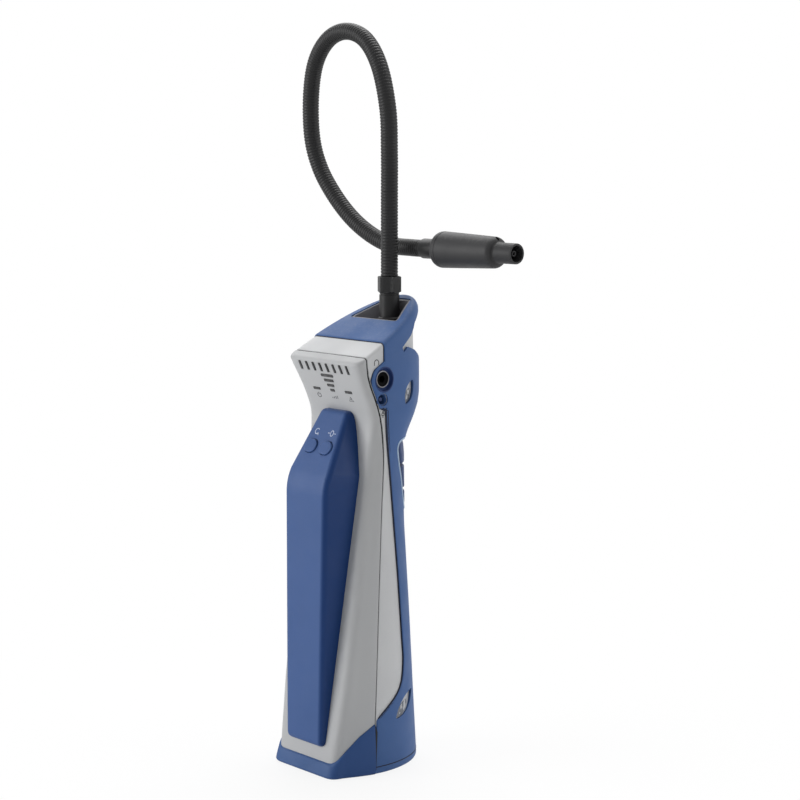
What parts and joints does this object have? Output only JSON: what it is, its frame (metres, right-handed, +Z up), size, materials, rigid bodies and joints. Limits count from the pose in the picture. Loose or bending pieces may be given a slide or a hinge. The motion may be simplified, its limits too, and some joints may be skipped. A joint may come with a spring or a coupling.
{
  "type": "refrigerant leak detector",
  "caption": "Hand-held refrigerant leak detector: tapered grip housing with display face, finger pads, two keys, sockets and a looped flexible probe ending in a sensor head.",
  "frame": {"origin": "middle of the flat base, on the floor plane, on the plane of symmetry of the housing", "axes": "+Z up along the housing, -Y out of the display and key side, +X to the socket side"},
  "size_m": [0.1564, 0.0844, 0.384],
  "materials": {
    "shell_grey": "fine satin moulding",
    "soft_blue": "soft matte overmould",
    "panel_blue": "soft-touch matte",
    "deep_blue": "matte ribs",
    "key_blue": "matte",
    "lens_dark": "smoked lens",
    "board_green": "solder mask",
    "black_plastic": "matte",
    "plated_ring": "bright plated",
    "contact_brass": "plated",
    "steel": "turned",
    "cell_wrap": "shrink wrap",
    "silicone": "soft tube",
    "neck_black": "satin black",
    "sensor_black": "fine matte"
  },
  "bodies": {
    "housing": {"front_shell": "shell_grey", "rear_shell": "shell_grey", "rear_cover": "soft_blue", "base_band": "soft_blue", "finger_pads": "deep_blue", "grip_panel": "panel_blue", "key_board": "board_green", "key_switches": "black_plastic", "signal_bars": "lens_dark", "level_bars": "lens_dark", "power_light": "lens_dark", "fault_light": "lens_dark", "display_board": "board_green", "main_board": "board_green", "buzzer": "black_plastic", "phone_socket": "black_plastic", "phone_ring": "plated_ring", "charge_socket": "black_plastic", "charge_pin": "contact_brass", "battery_door": "soft_blue", "battery_pack": "cell_wrap", "battery_contacts": "contact_brass", "air_pump": "steel", "pump_head": "black_plastic", "sample_tube": "silicone", "probe_well": "black_plastic", "neck_stem": "neck_black", "lock_nut": "steel", "neck_nut": "neck_black", "housing_screws": "steel", "door_screw": "steel"},
    "mode_key": {"mode_button": "key_blue"},
    "zero_key": {"zero_button": "key_blue"},
    "probe": {"gooseneck": "neck_black", "neck_ferrule": "neck_black", "sensor_cover": "sensor_black", "sensor_cell": "steel", "inlet_tube": "black_plastic"}
  },
  "joints": [
    {"name": "mode_press", "type": "slide", "parent": "housing", "child": "mode_key", "axis": [0, 0.8693, -0.4943], "range_m": [0, 0.0008], "stiffness_N_per_m": 1200, "springref_m": -0.0004},
    {"name": "zero_press", "type": "slide", "parent": "housing", "child": "zero_key", "axis": [0, 0.8693, -0.4943], "range_m": [0, 0.0008], "stiffness_N_per_m": 1200, "springref_m": -0.0004},
    {"name": "neck_lean", "type": "hinge", "parent": "housing", "child": "probe", "pos_m": [0, 0.025, 0.275], "axis": [0, 1, 0], "range_deg": [-35, 30], "deforming": ["gooseneck"]}
  ]
}
